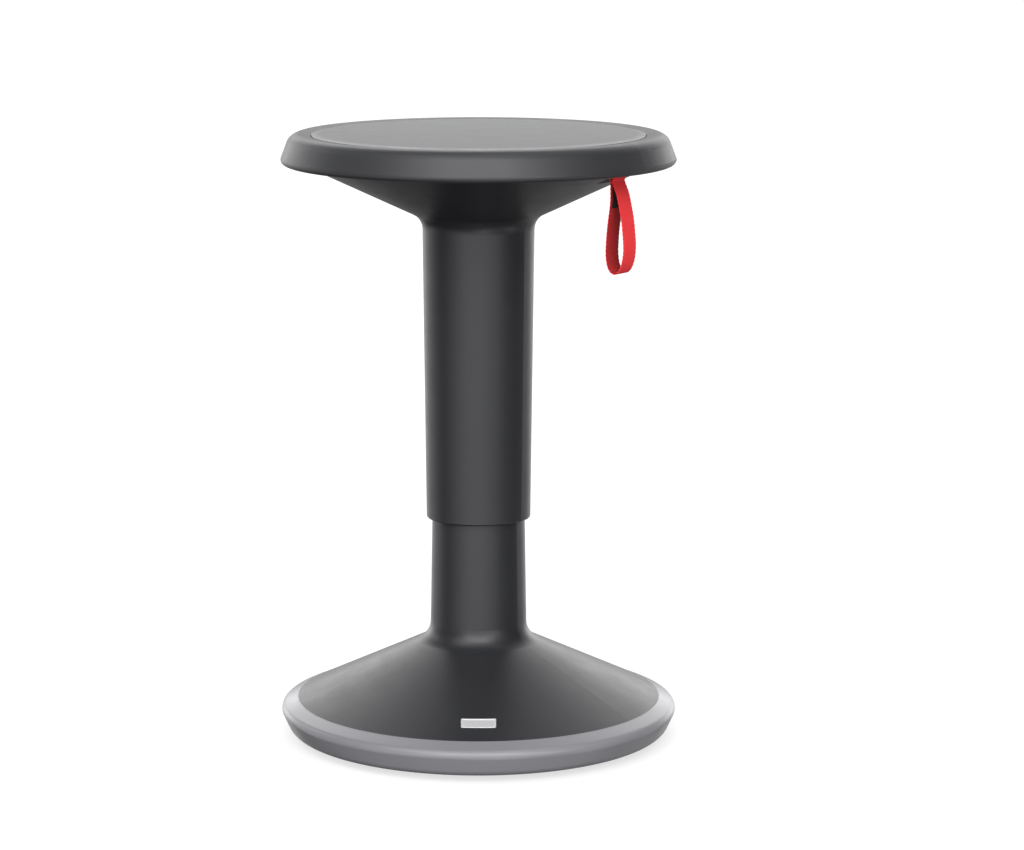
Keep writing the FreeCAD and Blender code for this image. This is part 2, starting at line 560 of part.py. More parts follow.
def csk_down(x, y, z_top, head_r, shank_r, length, af):
    s = Part.makeCone(shank_r, head_r, 2.0, V(0, 0, -2.0)).fuse(cyl(shank_r, -length + 1.0, -1.9))
    s = s.fuse(Part.makeCone(shank_r * 0.5, shank_r, 1.0, V(0, 0, -length)))
    s = one(s.cut(hex_prism(af, -1.2, 1.0, 0, 0)))
    s.translate(V(x, y, z_top))
    return s


node("pan_screws", [csk_down(x, y, 522.95, 4.1, 1.9, 11.0, 2.2) for x, y in PAN_XY])
node("pad_screws", [bolt_up(x, y, 519.0, 3.6, 2.0, 1.9, 7.5, 2.0) for x, y in PADS_XY])

board = cyl(144.05, 523.85, 527.3)
for x, y in PADS_XY:
    board = board.cut(cyl(1.95, 520.0, 526.8, x, y))
node("pad_board", one(board))


def pad_profile(r_side, z_edge, z_mid, edge_f):
    """Half section of a dished disc: arc over the top, rounded edge, straight side."""
    a = V(0, 0, z_mid)
    m = V(82.0, 0, z_mid + (z_edge - z_mid) * 0.30)
    b = V(r_side - 9.0, 0, z_edge)
    c_mid = V(r_side - edge_f * 0.36, 0, z_edge - edge_f * 0.42)
    c = V(r_side, 0, z_edge - edge_f)
    return a, m, b, c_mid, c


def pad_shape(r_side, z_edge, z_mid, z_low, edge_f):
    a, m, b, cm, c = pad_profile(r_side, z_edge, z_mid, edge_f)
    e = [Part.Arc(a, m, b).toShape(), Part.Arc(b, cm, c).toShape(), Part.makeLine(c, V(r_side, 0, z_low)),
         Part.makeLine(V(r_side, 0, z_low), V(0, 0, z_low)), Part.makeLine(V(0, 0, z_low), a)]
    return Part.Face(Part.Wire(e)).revolve(V(0, 0, 0), V(0, 0, 1), 360)


outer = pad_shape(PAD_R, PAD_EDGE_Z, PAD_MID_Z, PAD_BOT, 6.5)
inner = pad_shape(PAD_R - 1.05, PAD_EDGE_Z - 1.05, PAD_MID_Z - 1.05, PAD_BOT + 0.72, 5.6)
low = cyl(132.0, PAD_BOT - 1.0, PAD_BOT + 1.0)
node("pad_cover", one(outer.cut(inner).cut(low)))
foam = pad_shape(PAD_R - 1.3, PAD_EDGE_Z - 1.3, PAD_MID_Z - 1.3, 527.35, 5.5)
node("pad_foam", one(foam))

os.makedirs(OUT, exist_ok=True)
for name, shape in NODES.items():
    shape.exportStep(os.path.join(OUT, name + ".step"))
print(len(NODES), "nodes")
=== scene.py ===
import bpy, bmesh, json, math
import numpy as np
from mathutils import Vector, Matrix


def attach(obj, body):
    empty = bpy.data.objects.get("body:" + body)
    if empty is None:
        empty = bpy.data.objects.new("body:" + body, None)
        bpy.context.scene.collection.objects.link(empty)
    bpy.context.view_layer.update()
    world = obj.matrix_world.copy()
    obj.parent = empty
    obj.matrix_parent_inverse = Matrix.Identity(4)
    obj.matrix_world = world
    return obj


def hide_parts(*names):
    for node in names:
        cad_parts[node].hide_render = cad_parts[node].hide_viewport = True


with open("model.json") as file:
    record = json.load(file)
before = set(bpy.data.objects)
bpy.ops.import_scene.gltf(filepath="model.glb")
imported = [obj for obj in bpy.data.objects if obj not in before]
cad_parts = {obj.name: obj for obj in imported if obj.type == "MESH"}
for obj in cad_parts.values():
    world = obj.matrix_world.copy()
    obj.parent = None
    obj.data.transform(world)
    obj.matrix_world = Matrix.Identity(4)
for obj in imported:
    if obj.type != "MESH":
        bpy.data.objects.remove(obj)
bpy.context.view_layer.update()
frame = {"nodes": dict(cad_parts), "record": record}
scene = bpy.context.scene
NODES = frame["nodes"]
MM = 0.001

# ------------------------------------------------------------------ camera
VIEW_AZ = math.radians(-54.5)        # the side the picture is taken from, round the column
DIST, HEIGHT, PITCH = 2.96999, 0.81238, 10.1616
cam_data = bpy.data.cameras.new("camera")
cam = bpy.data.objects.new("camera", cam_data)
scene.collection.objects.link(cam)
scene.camera = cam
cam_data.sensor_width = 36.0
cam_data.lens = 120.0
cam_data.shift_x = (512.0 - 478.55) / 1024.0
cam_data.clip_end = 60.0
cam.location = (DIST * math.cos(VIEW_AZ), DIST * math.sin(VIEW_AZ), HEIGHT)
cam.rotation_euler = (math.radians(90.0 - PITCH), 0.0, VIEW_AZ + math.pi / 2)

# ------------------------------------------------------------------ studio light
# soft sources round the stool: elevation, bearing from the camera's side (positive to its right), strength[, sharpness]
SOFT_K = 34.0
SOURCES = [
    (-35, 15, 2.34), (-35, 75, 1.54), (-35, 135, 0.44), (-35, 165, 0.36), (-35, -165, 0.18), (-12, 0, 1.16), (-12, 120, 0.93),
    (-12, 160, 0.95), (-12, -160, 1.2), (-12, -120, 1.26), (-12, -100, 0.49), (-12, -60, 0.69), (-12, -40, 1.38), (-12, -20, 1.49), (5, 7.5, 1.85),
    (5, 22.5, 1.04), (5, 37.5, 2.44), (5, 142.5, 2.55), (5, 157.5, 1.75), (5, -157.5, 1.0), (5, -142.5, 3.17), (5, -22.5, 1.04),
    (22, 0, 0.95), (22, 20, 1.85), (22, 40, 1.1), (22, 160, 1.9), (22, -160, 1.5), (22, -120, 2.02), (22, -20, 4.18), (40, 15, 6.8),
    (40, 135, 0.98), (40, 165, 2.09), (40, -165, 3.06), (40, -45, 2.32), (40, -15, 4.4), (60, -45, 2.22), (80, 60, 2.9),
    (12, -167, 2.4, 190), (12, 167, 1.6, 190), (30, 180, 2.3, 70),
]


def world_light(sources, sharp, strength=1.0):
    w = bpy.data.worlds.new("studio")
    scene.world = w
    w.use_nodes = True
    t = w.node_tree
    t.nodes.clear()
    tc = t.nodes.new("ShaderNodeTexCoord")
    total = None
    for el, az, power, *own in sources:
        k = own[0] if own else sharp
        a, e = VIEW_AZ + math.radians(az), math.radians(el)
        dot = t.nodes.new("ShaderNodeVectorMath")
        dot.operation = "DOT_PRODUCT"
        t.links.new(tc.outputs["Generated"], dot.inputs[0])
        dot.inputs[1].default_value = (math.cos(e) * math.cos(a), math.cos(e) * math.sin(a), math.sin(e))
        m = t.nodes.new("ShaderNodeMath")
        m.operation = "MULTIPLY_ADD"
        t.links.new(dot.outputs["Value"], m.inputs[0])
        m.inputs[1].default_value = k
        m.inputs[2].default_value = -k
        ex = t.nodes.new("ShaderNodeMath")
        ex.operation = "EXPONENT"
        t.links.new(m.outputs[0], ex.inputs[0])
        s = t.nodes.new("ShaderNodeMath")
        s.operation = "MULTIPLY_ADD"
        t.links.new(ex.outputs[0], s.inputs[0])
        s.inputs[1].default_value = power * strength
        if total is None:
            s.inputs[2].default_value = 0.0
        else:
            t.links.new(total, s.inputs[2])
        total = s.outputs[0]
    lit = t.nodes.new("ShaderNodeBackground")
    t.links.new(total, lit.inputs["Strength"])
    seen = t.nodes.new("ShaderNodeBackground")        # the plain white that the picture has behind the stool
    seen.inputs["Color"].default_value = (1.0, 1.0, 1.0, 1.0)
    seen.inputs["Strength"].default_value = 1.1
    lp = t.nodes.new("ShaderNodeLightPath")
    mix = t.nodes.new("ShaderNodeMixShader")
    t.links.new(lp.outputs["Is Camera Ray"], mix.inputs[0])
    t.links.new(lit.outputs[0], mix.inputs[1])
    t.links.new(seen.outputs[0], mix.inputs[2])
    out = t.nodes.new("ShaderNodeOutputWorld")
    t.links.new(mix.outputs[0], out.inputs[0])
    w.cycles.sampling_method = "MANUAL"
    w.cycles.sample_map_resolution = 512
    return w


world_light(SOURCES, SOFT_K)
scene.view_settings.view_transform = "Standard"
scene.view_settings.look = "None"
scene.view_settings.exposure = 0.0
scene.view_settings.gamma = 1.0


# ------------------------------------------------------------------ shader helpers
class Tree:
    """A node material with one Principled shader and short ways to add texture to it."""

    def __init__(self, name, color=(0.5, 0.5, 0.5), rough=0.5, metal=0.0, spec=0.5, ior=1.5):
        self.mat = bpy.data.materials.new(name)
        self.mat.use_nodes = True
        self.t = self.mat.node_tree
        self.t.nodes.clear()
        self.b = self.t.nodes.new("ShaderNodeBsdfPrincipled")
        out = self.t.nodes.new("ShaderNodeOutputMaterial")
        self.t.links.new(self.b.outputs[0], out.inputs[0])
        self.co = self.t.nodes.new("ShaderNodeTexCoord").outputs["Object"]
        self.set("Base Color", (*color, 1.0))
        self.set("Roughness", rough)
        self.set("Metallic", metal)
        self.set("Specular IOR Level", spec)
        self.set("IOR", ior)
        self.color = color
        self.rough = rough

    def set(self, name, v):
        if isinstance(v, bpy.types.NodeSocket):
            self.t.links.new(v, self.b.inputs[name])
        else:
            self.b.inputs[name].default_value = v

    def put(self, node, i, v):
        if isinstance(v, bpy.types.NodeSocket):
            self.t.links.new(v, node.inputs[i])
        elif v is not None:
            node.inputs[i].default_value = v

    def math(self, op, a, b=None, c=None, clamp=False):
        n = self.t.nodes.new("ShaderNodeMath")
        n.operation = op
        n.use_clamp = clamp
        self.put(n, 0, a)
        self.put(n, 1, b)
        self.put(n, 2, c)
        return n.outputs[0]

    def vec(self, op, a, b=None):
        n = self.t.nodes.new("ShaderNodeVectorMath")
        n.operation = op
        self.put(n, 0, a)
        self.put(n, 1, b)
        return n.outputs["Value"] if op in ("LENGTH", "DOT_PRODUCT") else n.outputs[0]

    def split(self, v):
        n = self.t.nodes.new("ShaderNodeSeparateXYZ")
        self.put(n, 0, v)
        return n.outputs[0], n.outputs[1], n.outputs[2]

    def join(self, x, y, z):
        n = self.t.nodes.new("ShaderNodeCombineXYZ")
        self.put(n, 0, x)
        self.put(n, 1, y)
        self.put(n, 2, z)
        return n.outputs[0]

    def noise(self, size, detail=2.0, rough=0.5, vec=None, twist=0.0):
        """size is the width of one blotch in metres."""
        n = self.t.nodes.new("ShaderNodeTexNoise")
        n.inputs["Scale"].default_value = 1.0 / size
        n.inputs["Detail"].default_value = detail
        n.inputs["Roughness"].default_value = rough
        n.inputs["Distortion"].default_value = twist
        self.put(n, 0, vec if vec is not None else self.co)
        return n.outputs[0]

    def cells(self, size, kind="F1", vec=None, random=1.0, smooth=None):
        n = self.t.nodes.new("ShaderNodeTexVoronoi")
        n.feature = kind
        n.inputs["Scale"].default_value = 1.0 / size
        n.inputs["Randomness"].default_value = random
        if smooth is not None and kind == "SMOOTH_F1":
            n.inputs["Smoothness"].default_value = smooth
        self.put(n, 0, vec if vec is not None else self.co)
        return n.outputs["Distance"]

    def span(self, v, a, b, c, d, smooth=False):
        n = self.t.nodes.new("ShaderNodeMapRange")
        n.interpolation_type = "SMOOTHSTEP" if smooth else "LINEAR"
        n.clamp = True
        self.put(n, 0, v)
        for i, x in enumerate((a, b, c, d)):
            self.put(n, 1 + i, x)
        return n.outputs[0]

    def mix(self, f, a, b, blend="MIX"):
        n = self.t.nodes.new("ShaderNodeMix")
        n.data_type = "RGBA"
        n.blend_type = blend
        self.put(n, 0, f)
        self.put(n, 6, a if isinstance(a, bpy.types.NodeSocket) else (*a, 1.0))
        self.put(n, 7, b if isinstance(b, bpy.types.NodeSocket) else (*b, 1.0))
        return n.outputs[2]

    def bump(self, height, depth, strength=1.0, normal=None):
        """depth is how deep a height of 1 is, in metres."""
        n = self.t.nodes.new("ShaderNodeBump")
        n.inputs["Strength"].default_value = strength
        n.inputs["Distance"].default_value = depth
        self.put(n, "Height", height)
        if normal is not None:
            self.put(n, "Normal", normal)
        return n.outputs[0]

    def vary(self, f, amount, base=None):
        """Base colour from dark to light by f, amount either way."""
        c = base or self.color
        return self.mix(f, tuple(x * (1 - amount) for x in c), tuple(x * (1 + amount) for x in c))

    def ring_mask(self, marks, patch=None):
        """1 along circles (radius, height, width in mm) round the column, 0 elsewhere; patch makes it uneven."""
        x, y, z = self.split(self.co)
        r = self.vec("LENGTH", self.join(x, y, 0.0))
        total = None
        for r0, z0, w in marks:
            dr = self.math("MULTIPLY", self.math("SUBTRACT", r, r0 * MM), 1.0 / (w * MM))
            dz = self.math("MULTIPLY", self.math("SUBTRACT", z, z0 * MM), 1.0 / (w * MM))
            d2 = self.math("ADD", self.math("MULTIPLY", dr, dr), self.math("MULTIPLY", dz, dz))
            g = self.math("EXPONENT", self.math("MULTIPLY", d2, -1.0))
            total = g if total is None else self.math("MAXIMUM", total, g)
        if patch is not None:
            total = self.math("MULTIPLY", total, patch, clamp=True)
        return total


def moulded(name, color, rough, grain=0.42, depth=0.012, clouds=0.035, marks=(), worn=0.16, spec=0.5, gloss_patch=0.03):
    """Injection moulded plastic with an eroded satin grain, faint handling marks, and edges polished by use."""
    m = Tree(name, color, rough, spec=spec)
    cloud = m.noise(0.09, 4.0, 0.55)
    speck = m.noise(grain * 0.6 * MM, 2.0, 0.6)
    col = m.vary(cloud, clouds)
    col = m.mix(m.span(speck, 0.35, 0.75, 0.0, 0.06), col, tuple(min(1.0, x * 1.9 + 0.01) for x in color))
    rub = m.noise(0.021, 5.0, 0.62, twist=0.4)
    fine = m.noise(0.0032, 3.0, 0.6)
    r = m.math("ADD", m.span(rub, 0.3, 0.7, rough - gloss_patch, rough + gloss_patch), m.span(fine, 0.3, 0.7, -0.015, 0.015))
    if marks:
        mask = m.ring_mask(marks, m.span(m.noise(0.013, 4.0, 0.6), 0.35, 0.65, 0.25, 1.0))
        col = m.mix(m.math("MULTIPLY", mask, worn), col, tuple(min(1.0, x * 2.6 + 0.02) for x in color))
        r = m.math("SUBTRACT", r, m.math("MULTIPLY", mask, 0.07))
    m.set("Base Color", col)
    m.set("Roughness", r)
    pebble = m.cells(grain * MM, "SMOOTH_F1", smooth=0.6)
    swell = m.noise(0.045, 2.0, 0.5)
    n = m.bump(pebble, depth * MM)
    n = m.bump(m.noise(grain * 0.35 * MM, 2.0, 0.55), depth * 0.5 * MM, normal=n)
    n = m.bump(swell, 0.02 * MM, normal=n)
    m.set("Normal", n)
    return m.mat


def skin_grain(name, color, rough, cell=0.75, depth=0.03, clouds=0.04, coat=0.0, marks=()):
    """Smooth grained artificial leather or integral skin: fine closed pores between low pebbles."""
    m = Tree(name, color, rough)
    warp = m.noise(0.004, 2.0, 0.5)
    shift = m.vec("ADD", m.co, m.vec("SCALE", m.join(warp, warp, warp)))
    c1 = m.cells(cell * MM, "DISTANCE_TO_EDGE")
    crease = m.span(c1, 0.0, 0.16, 0.0, 1.0, smooth=True)
    pores = m.span(m.cells(cell * 0.55 * MM, "F1"), 0.0, 0.22, 0.0, 1.0, smooth=True)
    cloud = m.noise(0.07, 5.0, 0.55)
    col = m.vary(cloud, clouds)
    # painted shade: the creases between the pebbles are darkened toward 0.6 of the colour
    col = m.mix(m.span(crease, 0.0, 1.0, 0.18, 0.0), col, tuple(x * 0.6 for x in color))
    m.set("Base Color", col)
    rub = m.noise(0.03, 4.0, 0.6, twist=0.3)
    m.set("Roughness", m.math("ADD", m.span(rub, 0.3, 0.7, rough - 0.03, rough + 0.03), m.span(crease, 0.0, 1.0, 0.05, 0.0)))
    n = m.bump(crease, depth * MM)
    n = m.bump(pores, depth * 0.35 * MM, normal=n)
    n = m.bump(m.noise(0.03, 2.0, 0.5), 0.03 * MM, normal=n)
    m.set("Normal", n)
    return m.mat


def rubber(name, color, rough, grain=0.5, depth=0.015, marks=(), scuffs=0.0, bloom=0.03, dust=0.10):
    m = Tree(name, color, rough)
    cloud = m.noise(0.05, 5.0, 0.6)
    col = m.vary(cloud, bloom)
    film = m.span(m.noise(0.0021, 4.0, 0.65), 0.45, 0.75, 0.0, dust)
    col = m.mix(film, col, tuple(min(1.0, x * 1.25 + 0.03) for x in color))
    if marks:
        mask = m.ring_mask(marks, m.span(m.noise(0.02, 4.0, 0.6), 0.42, 0.66, 0.0, 1.0))
        col = m.mix(m.math("MULTIPLY", mask, scuffs), col, tuple(x * 0.62 for x in color))
    m.set("Base Color", col)
    m.set("Roughness", m.span(m.noise(0.016, 4.0, 0.6), 0.3, 0.7, rough - 0.035, rough + 0.035))
    n = m.bump(m.cells(grain * MM, "SMOOTH_F1", smooth=0.8), depth * MM)
    n = m.bump(m.noise(grain * 0.4 * MM, 2.0, 0.6), depth * 0.6 * MM, normal=n)
    n = m.bump(m.noise(0.05, 2.0, 0.5), 0.03 * MM, normal=n)
    m.set("Normal", n)
    return m.mat


def turned_steel(name, color, rough, pitch=0.12, depth=0.003, metal=1.0, stain=0.05, axis="Z"):
    """Steel turned or drawn round the column: fine lines round the axis, slight oxide clouds."""
    m = Tree(name, color, rough, metal=metal)
    x, y, z = m.split(m.co)
    r = m.vec("LENGTH", m.join(x, y, 0.0))
    lines = m.noise(1.0, 3.0, 0.6, vec=m.join(m.math("MULTIPLY", r, 1.0 / (pitch * MM)), m.math("MULTIPLY", z, 1.0 / (pitch * MM)), 0.0))
    cloud = m.noise(0.012, 5.0, 0.6)
    m.set("Base Color", m.vary(cloud, stain))
    m.set("Roughness", m.math("ADD", m.span(lines, 0.25, 0.75, rough - 0.06, rough + 0.06), m.span(cloud, 0.3, 0.7, -0.03, 0.03)))
    n = m.bump(lines, depth * MM)
    m.set("Normal", m.bump(m.noise(0.004, 3.0, 0.5), 0.004 * MM, normal=n))
    return m.mat


def zinc(name, color=(0.56, 0.57, 0.59), rough=0.34):
    """Pressed steel with bright zinc plating: faint crystals, a yellow to blue cast that drifts."""
    m = Tree(name, color, rough, metal=1.0)
    cry = m.cells(1.6 * MM, "F1")
    cloud = m.noise(0.008, 5.0, 0.6, twist=0.5)
    col = m.mix(cloud, (color[0] * 1.03, color[1] * 1.0, color[2] * 0.93), (color[0] * 0.93, color[1] * 0.98, color[2] * 1.05))
    col = m.mix(m.span(m.noise(0.0015, 3.0, 0.7), 0.6, 0.8, 0.0, 0.4), col, (0.33, 0.33, 0.32))
    m.set("Base Color", col)
    m.set("Roughness", m.span(cry, 0.0, 0.8, rough - 0.05, rough + 0.1))
    n = m.bump(cry, 0.004 * MM)
    m.set("Normal", m.bump(m.noise(0.0006, 3.0, 0.6), 0.006 * MM, normal=n))
    return m.mat


def painted(name, color, rough, peel=0.9, depth=0.02, chips=0.0):
    """Powder coat or paint with orange peel."""
    m = Tree(name, color, rough)
    col = m.vary(m.noise(0.03, 4.0, 0.6), 0.08)
    if chips:
        c = m.span(m.noise(0.0045, 5.0, 0.7), 0.68, 0.72, 0.0, chips)
        col = m.mix(c, col, (0.2, 0.19, 0.18))
    m.set("Base Color", col)
    m.set("Roughness", m.span(m.noise(0.01, 3.0, 0.5), 0.3, 0.7, rough - 0.04, rough + 0.04))
    n = m.bump(m.noise(peel * MM, 1.0, 0.4), depth * MM)
    m.set("Normal", m.bump(m.noise(0.25 * MM, 2.0, 0.5), 0.004 * MM, normal=n))
    return m.mat


def cast(name, color=(0.055, 0.055, 0.056), rough=0.62):
    """Sand-cast iron under thin black paint: pitted, with rust where the paint is thin."""
    m = Tree(name, color, rough)
    pits = m.noise(0.0014, 5.0, 0.7)
    rust = m.span(m.noise(0.011, 6.0, 0.65, twist=0.6), 0.6, 0.74, 0.0, 0.7)
    m.set("Base Color", m.mix(rust, m.vary(pits, 0.25), (0.14, 0.06, 0.03)))
    m.set("Roughness", m.span(pits, 0.3, 0.7, rough - 0.1, rough + 0.12))
    n = m.bump(pits, 0.12 * MM)
    m.set("Normal", m.bump(m.noise(0.009, 3.0, 0.6), 0.25 * MM, normal=n))
    return m.mat


def foam_cells(name, color=(0.36, 0.36, 0.33)):
    """Open-cell foam: rounded pores of two sizes."""
    m = Tree(name, color, 0.92, spec=0.2)
    big = m.span(m.cells(1.7 * MM, "F1"), 0.05, 0.5, 0.0, 1.0, smooth=True)
    small = m.span(m.cells(0.6 * MM, "F1"), 0.05, 0.5, 0.0, 1.0, smooth=True)
    # painted shade: the pores are darkened toward 0.45 of the colour
    col = m.mix(m.math("MULTIPLY", big, small), tuple(x * 0.45 for x in color), m.vary(m.noise(0.04, 3.0), 0.06))
    m.set("Base Color", col)
    n = m.bump(big, 0.5 * MM)
    m.set("Normal", m.bump(small, 0.25 * MM, normal=n))
    return m.mat


def webbing(name, color, valley_shade, rough=0.72, sheen=0.12, inside=1.0):
    """Fibres of spun yarn on top of the modelled weave, with painted shade where the relief is low. strap_co holds the
    run along the strap, the place across it and the relief, which is 2 higher on the face that the loop holds inside;
    that face is darkened by the factor inside as painted shadow inside the loop."""
    m = Tree(name, color, rough, spec=0.25)
    at = m.t.nodes.new("ShaderNodeAttribute")
    at.attribute_type = "GEOMETRY"
    at.attribute_name = "strap_co"
    s, v, hh = m.split(at.outputs["Vector"])
    inner = m.math("GREATER_THAN", hh, 1.5)
    h = m.math("SUBTRACT", hh, m.math("MULTIPLY", inner, 2.0))
    fib = m.noise(1.0, 3.0, 0.6, vec=m.join(m.math("MULTIPLY", s, 900.0), m.math("MULTIPLY", v, 9000.0), 0.0))
    fuzz = m.noise(0.16 * MM, 2.0, 0.6)
    tone = m.noise(0.006, 3.0, 0.5)
    col = m.vary(tone, 0.05)
    col = m.mix(m.span(fib, 0.3, 0.7, 0.0, 0.30), col, tuple(min(1.0, x * 1.22 + 0.012) for x in color))
    # painted shade: where the relief is low the colour is darkened toward the second colour, in the hollows of the
    # weave
    col = m.mix(m.span(h, 0.0, 1.0, 0.6, 0.0, smooth=True), col, valley_shade)
    # painted shadow: the face that the loop holds inside is darkened by the factor inside
    if inside < 1.0:
        col = m.mix(inner, col, m.mix(1.0, col, (inside, inside * 0.8, inside * 0.8), "MULTIPLY"))
    m.set("Base Color", col)
    m.set("Roughness", m.span(fib, 0.2, 0.8, rough - 0.08, rough + 0.08))
    m.set("Sheen Weight", sheen)
    m.set("Sheen Roughness", 0.5)
    m.set("Sheen Tint", (min(1.0, color[0] * 1.1 + 0.02), min(1.0, color[1] * 3.0 + 0.02), min(1.0, color[2] * 3.0 + 0.02), 1.0))
    n = m.bump(fib, 0.035 * MM)
    m.set("Normal", m.bump(fuzz, 0.02 * MM, normal=n))
    return m.mat


def satin_metal(name, color=(0.86, 0.86, 0.87), rough=0.36, az=VIEW_AZ):
    """Aluminium sheet, brushed along its length, lacquered."""
    m = Tree(name, color, rough, metal=0.55)
    ca, sa = math.cos(az), math.sin(az)
    x, y, z = m.split(m.co)
    u = m.math("ADD", m.math("MULTIPLY", x, -sa), m.math("MULTIPLY", y, ca))
    w = m.math("ADD", m.math("MULTIPLY", x, ca), m.math("MULTIPLY", y, sa))
    lines = m.noise(1.0, 4.0, 0.65, vec=m.join(m.math("MULTIPLY", u, 160.0), m.math("MULTIPLY", w, 7000.0), m.math("MULTIPLY", z, 7000.0)))
    col = m.mix(m.span(lines, 0.25, 0.75, 0.0, 1.0), tuple(x * 0.93 for x in color), tuple(min(1.0, x * 1.05) for x in color))
    m.set("Base Color", m.mix(m.span(m.noise(0.003, 4.0, 0.6), 0.55, 0.8, 0.0, 0.12), col, tuple(x * 0.8 for x in color)))
    m.set("Roughness", m.span(lines, 0.2, 0.8, rough - 0.05, rough + 0.07))
    m.set("Normal", m.bump(lines, 0.004 * MM))
    return m.mat


M = {
    "graphite_plastic": moulded("graphite_plastic", (0.0205, 0.0208, 0.0240), 0.355, depth=0.006, marks=((46.0, 198.8, 1.6), (41.3, 310.5, 2.0))),
    "graphite_soft": skin_grain("graphite_soft", (0.0330, 0.0334, 0.0372), 0.41, cell=0.55, depth=0.006, clouds=0.03),
    "pad_skin": skin_grain("pad_skin", (0.098, 0.0985, 0.105), 0.35, cell=0.8, depth=0.008, clouds=0.035),
    "foam": foam_cells("foam"),
    "ring_grey": rubber("ring_grey", (0.224, 0.2245, 0.240), 0.235, depth=0.003, dust=0.03, bloom=0.015, marks=((167.5, 6.4, 6.0),), scuffs=0.2),
    "sole_rubber": rubber("sole_rubber", (0.028, 0.028, 0.028), 0.66, grain=0.8, depth=0.05, bloom=0.12),
    "base_black": moulded("base_black", (0.022, 0.022, 0.023), 0.46, grain=0.7, depth=0.03, clouds=0.08),
    "plate_silver": satin_metal("plate_silver"),
    "ballast_iron": cast("ballast_iron"),
    "steel_zinc": zinc("steel_zinc"),
    "steel_black": painted("steel_black", (0.02, 0.02, 0.022), 0.36),
    "steel_polished": turned_steel("steel_polished", (0.72, 0.72, 0.74), 0.16, pitch=0.05, depth=0.0012),
    "bush_white": moulded("bush_white", (0.70, 0.69, 0.65), 0.42, grain=0.3, depth=0.006, clouds=0.02),
    "bush_black": moulded("bush_black", (0.024, 0.024, 0.024), 0.34, grain=0.3, depth=0.006, clouds=0.05),
    "screw_black": turned_steel("screw_black", (0.05, 0.05, 0.055), 0.36, pitch=0.2, depth=0.004, metal=0.8, stain=0.25),
    "strap_red": webbing("strap_red", (0.98, 0.050, 0.056), (0.66, 0.020, 0.024), inside=0.50),
    "tab_black": webbing("tab_black", (0.014, 0.014, 0.014), (0.006, 0.006, 0.006), rough=0.8, sheen=0.2),
    "board_black": moulded("board_black", (0.03, 0.03, 0.031), 0.5, grain=0.6, depth=0.02, clouds=0.08),
}

SLOT_OF = {}
for m_ in frame["record"]["materials"]:
    SLOT_OF[m_["slot"]] = m_
NODE_SLOT = {
    "foot_housing": "graphite_plastic", "seat_housing": "graphite_plastic", "seat_rim": "graphite_soft", "pad_cover": "pad_skin",
    "pad_foam": "foam", "floor_ring": "ring_grey", "grip_sole": "sole_rubber", "rod_bumper": "sole_rubber", "piston_seal": "sole_rubber",
    "rod_guide_seal": "sole_rubber", "base_plate": "base_black", "service_cap": "base_black", "name_plate": "plate_silver",
    "ballast_disc": "ballast_iron", "ballast_bolts": "steel_zinc", "base_plate_screws": "screw_black", "column_socket": "steel_zinc",
    "column_tube": "steel_black", "guide_bush": "bush_white", "stem_glide_ring": "bush_black", "lower_bearing_race": "steel_polished",
    "upper_bearing_race": "steel_polished", "bearing_cage": "bush_white", "bearing_balls": "steel_polished", "piston_rod": "steel_polished",
    "rod_washer": "steel_zinc", "rod_clip": "steel_zinc", "piston": "bush_black", "piston_nut": "steel_zinc", "seat_pan": "board_black",
    "pad_board": "board_black", "pan_screws": "steel_zinc", "pad_screws": "steel_zinc", "seat_socket": "steel_zinc",
    "pressure_tube": "steel_polished", "rod_guide": "bush_white", "valve_body": "bush_black", "valve_pin": "steel_polished",
    "lever_bracket": "steel_zinc", "bracket_screws": "steel_zinc", "lever_pivot_pin": "steel_polished", "lever_pin_clip": "steel_zinc",
    "release_lever": "steel_zinc", "strap_pin": "steel_polished", "pull_strap": "strap_red", "strap_tab": "tab_black",
}
for n_, o_ in NODES.items():
    o_.data.materials.clear()
    o_.data.materials.append(M[NODE_SLOT[n_]])


# ------------------------------------------------------------------ mesh helpers
def add_object(name, verts, faces, slot, body, smooth=True):
    me = bpy.data.meshes.new(name)
    me.from_pydata([tuple(v) for v in verts], [], faces)
    me.validate()
    me.update()
    if smooth:
        me.polygons.foreach_set("use_smooth", [True] * len(me.polygons))
    o = bpy.data.objects.new(name, me)
    scene.collection.objects.link(o)
    me.materials.append(M[slot])
    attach(o, body)
    return o


def arc_profile(pts, step=0.5, turn=6.0):
    """(r, z[, fillet]) corners in mm to a dense line with tangent arcs at the corners; not closed."""
    out = []
    n = len(pts)
    for i, p in enumerate(pts):
        f = p[2] if len(p) > 2 else 0.0
        if f <= 0 or i in (0, n - 1):
            out.append((p[0], p[1]))
            continue
        a, b = pts[i - 1], pts[i + 1]
        ax, az = a[0] - p[0], a[1] - p[1]
        bx, bz = b[0] - p[0], b[1] - p[1]
        la, lb = math.hypot(ax, az), math.hypot(bx, bz)
        ax, az, bx, bz = ax / la, az / la, bx / lb, bz / lb
        half = math.acos(max(-1, min(1, ax * bx + az * bz))) / 2
        t = f / math.tan(half)
        cx, cz = ax + bx, az + bz
        cl = math.hypot(cx, cz)
        cx, cz = cx / cl, cz / cl
        d = f / math.sin(half)
        ox, oz = p[0] + cx * d, p[1] + cz * d
        a0 = math.atan2(p[1] + az * t - oz, p[0] + ax * t - ox)
        a1 = math.atan2(p[1] + bz * t - oz, p[0] + bx * t - ox)
        da = (a1 - a0 + math.pi) % (2 * math.pi) - math.pi
        k = max(3, int(abs(math.degrees(da)) / turn) + 1)
        for j in range(k + 1):
            q = a0 + da * j / k
            out.append((ox + f * math.cos(q), oz + f * math.sin(q)))
    return out


